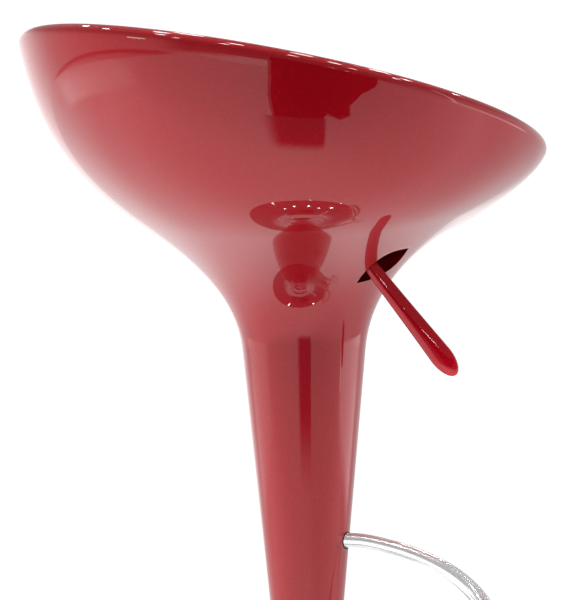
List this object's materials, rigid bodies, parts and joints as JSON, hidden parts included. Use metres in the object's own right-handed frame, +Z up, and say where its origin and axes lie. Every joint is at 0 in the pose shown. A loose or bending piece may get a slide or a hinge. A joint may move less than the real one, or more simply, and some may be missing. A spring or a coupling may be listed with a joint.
{
  "type": "adjustable swivel bar stool",
  "caption": "Gas-lift bar stool: a glossy bowl seat on a tapering neck slides and swivels on a chrome column with a trumpet base; side lever, bar footrest.",
  "frame": {"origin": "on the floor, on the column's axis", "axes": "+X towards the sitter's front, where the footrest is; +Y to the sitter's left; +Z up; the seat is stored at its lowest height and faces +X"},
  "size_m": [0.4242, 0.449, 0.6542],
  "materials": {
    "shell_red": "deep red metallic-flake lacquer under gloss clearcoat",
    "lever_red": "solid red gloss lacquer, brighter than the shell",
    "chrome_plate": "bright chrome plate",
    "pale_chrome": "pale, slightly satin chrome plate",
    "cast_ballast": "as cast, painted grey",
    "black_sheet": "black powder coat",
    "black_rubber": "smooth black rubber",
    "zinc_steel": "zinc plated",
    "bearing_steel": "ground bearing steel",
    "natural_plastic": "unfilled acetal, off-white",
    "brass_part": "turned brass",
    "alu_part": "turned aluminium"
  },
  "bodies": {
    "base": {"base_trumpet": "chrome_plate", "base_ballast": "cast_ballast", "base_cover": "black_sheet", "floor_ring": "black_rubber", "stand_tube": "chrome_plate", "column_flange": "black_sheet", "base_bolts": "zinc_steel", "base_nuts": "zinc_steel", "cover_screws": "zinc_steel", "column_collar": "black_rubber", "guide_bush": "natural_plastic", "bearing_lower_race": "bearing_steel"},
    "bearing": {"bearing_cage": "brass_part", "bearing_balls": "bearing_steel"},
    "rod": {"piston_rod": "chrome_plate", "piston": "alu_part", "piston_seal": "black_rubber", "bearing_upper_race": "bearing_steel", "rod_washer": "zinc_steel", "rod_clip": "zinc_steel", "bump_stop": "black_rubber"},
    "seat": {"pressure_tube": "black_sheet", "rod_gland": "black_rubber", "valve_body": "brass_part", "taper_hub": "black_sheet", "mount_plate": "black_sheet", "plate_screws": "zinc_steel", "lever_bracket": "zinc_steel", "carrier_sleeve": "black_sheet", "neck_guide_ring": "natural_plastic", "seat_shell": "shell_red", "seat_pan": "shell_red", "footrest_bar": "pale_chrome", "footrest_screws": "zinc_steel", "footrest_grommets": "black_rubber"},
    "lever": {"lever_shaft": "zinc_steel", "shaft_clips": "zinc_steel", "lever_blade": "lever_red", "lever_screw": "zinc_steel"},
    "valve": {"valve_pin": "chrome_plate"}
  },
  "joints": [
    {"name": "swivel", "type": "hinge", "parent": "base", "child": "rod", "pos_m": [0, 0, 0.0255], "axis": [0, 0, 1], "continuous": true},
    {"name": "bearing_turn", "type": "hinge", "parent": "base", "child": "bearing", "pos_m": [0, 0, 0.0255], "axis": [0, 0, 1], "continuous": true},
    {"name": "seat_height", "type": "slide", "parent": "rod", "child": "seat", "axis": [0, 0, 1], "range_m": [0, 0.21]},
    {"name": "height_lever", "type": "hinge", "parent": "seat", "child": "lever", "pos_m": [0.021, -0.057, 0.492], "axis": [0, -1, 0], "range_deg": [0, 14], "stiffness_Nm_per_rad": 1.5, "springref_deg": -8.59},
    {"name": "valve_travel", "type": "slide", "parent": "seat", "child": "valve", "axis": [0, 0, -1], "range_m": [0, 0.0055]}
  ],
  "couplings": [
    {"joint": "bearing_turn", "follows": "swivel", "ratio": 0.5},
    {"joint": "valve_travel", "follows": "height_lever", "m_per_rad": 0.022}
  ]
}
